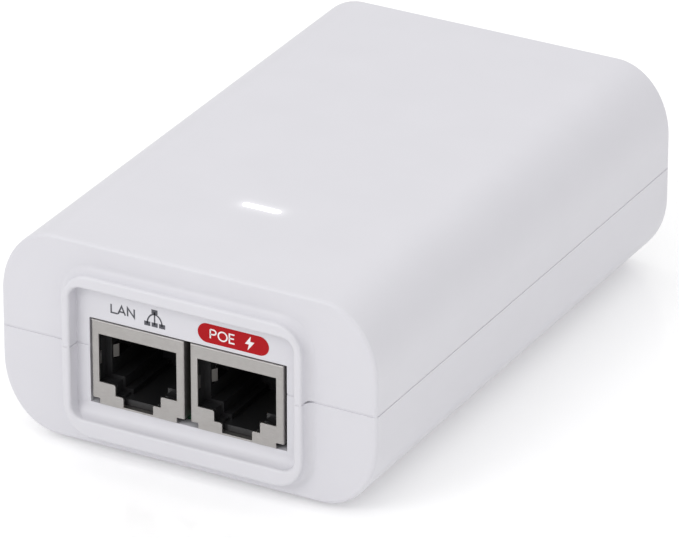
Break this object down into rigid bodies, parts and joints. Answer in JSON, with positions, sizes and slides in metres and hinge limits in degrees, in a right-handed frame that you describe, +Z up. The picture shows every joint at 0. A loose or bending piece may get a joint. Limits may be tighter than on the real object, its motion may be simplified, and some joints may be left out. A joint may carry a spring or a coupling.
{
  "type": "power over ethernet injector",
  "caption": "Loaf-shaped two-shell PoE injector with two shielded network jacks in a raised rim at the front, a status light on top and a three-pin AC inlet at the back.",
  "frame": {"origin": "on the surface it stands on, under the middle of the case", "axes": "+Z up, network jacks face -Y, AC inlet faces +Y, +X to the right seen from the jacks"},
  "size_m": [0.0644, 0.1022, 0.0346],
  "materials": {
    "case_plastic": "fine satin moulded texture",
    "light_lens": "clear, lit from inside",
    "led_white": "moulded lamp body",
    "foot_rubber": "matt",
    "zinc_steel": "zinc plated",
    "shield_sheet": "nickel plated sheet, fine rolling lines",
    "black_plastic": "satin",
    "contact_gold": "gold plated",
    "pin_nickel": "nickel plated",
    "board_green": "solder mask over glass fibre",
    "fuse_case": "moulded",
    "varistor_coat": "dipped coating",
    "x_cap_case": "moulded box",
    "y_cap_coat": "dipped coating",
    "ferrite": "sintered ferrite",
    "copper_wire": "enamelled copper",
    "epoxy_black": "moulded epoxy",
    "cap_sleeve": "printed sleeve without lettering",
    "winding_tape": "polyester tape",
    "bobbin_plastic": "phenolic",
    "heat_sink_aluminium": "bare plate",
    "fibre_sheet": "fibre board",
    "chip_ceramic": "fired"
  },
  "bodies": {
    "case": {"top_cover": "case_plastic", "bottom_cover": "case_plastic", "light_pipe": "light_lens", "status_led": "led_white", "rubber_feet": "foot_rubber", "case_screws": "zinc_steel", "ac_inlet_body": "black_plastic", "ac_inlet_pins": "pin_nickel", "fuse": "fuse_case", "varistor": "varistor_coat", "x_capacitor": "x_cap_case", "y_capacitor": "y_cap_coat", "choke_core": "ferrite", "choke_windings": "copper_wire", "choke_base": "bobbin_plastic", "bridge_rectifier": "epoxy_black", "bulk_capacitor": "cap_sleeve", "transformer_core": "ferrite", "transformer_bobbin": "bobbin_plastic", "transformer_winding": "winding_tape", "primary_heat_sink": "heat_sink_aluminium", "switch_transistor": "epoxy_black", "secondary_heat_sink": "heat_sink_aluminium", "rectifier_diode": "epoxy_black", "heat_sink_screws": "zinc_steel", "output_capacitors": "cap_sleeve", "lan_magnetics": "epoxy_black", "power_controller_chip": "epoxy_black", "optocoupler": "epoxy_black", "poe_controller_chip": "epoxy_black", "surface_mount_parts": "chip_ceramic", "insulation_sheet": "fibre_sheet", "main_board": "board_green", "lan_jack_shield": "shield_sheet", "lan_jack_insert": "black_plastic", "lan_contact_tails": "contact_gold", "poe_jack_shield": "shield_sheet", "poe_jack_insert": "black_plastic", "poe_contact_tails": "contact_gold"},
    "lan_contacts": {"lan_contact_springs": "contact_gold"},
    "poe_contacts": {"poe_contact_springs": "contact_gold"}
  },
  "joints": [
    {"name": "lan_contact_flex", "type": "hinge", "parent": "case", "child": "lan_contacts", "pos_m": [-0.00853, -0.0461, 0.01885], "axis": [1, 0, 0], "range_deg": [0, 9], "stiffness_Nm_per_rad": 0.2, "springref_deg": -2.86},
    {"name": "poe_contact_flex", "type": "hinge", "parent": "case", "child": "poe_contacts", "pos_m": [0.00853, -0.0461, 0.01885], "axis": [1, 0, 0], "range_deg": [0, 9], "stiffness_Nm_per_rad": 0.2, "springref_deg": -2.86}
  ]
}
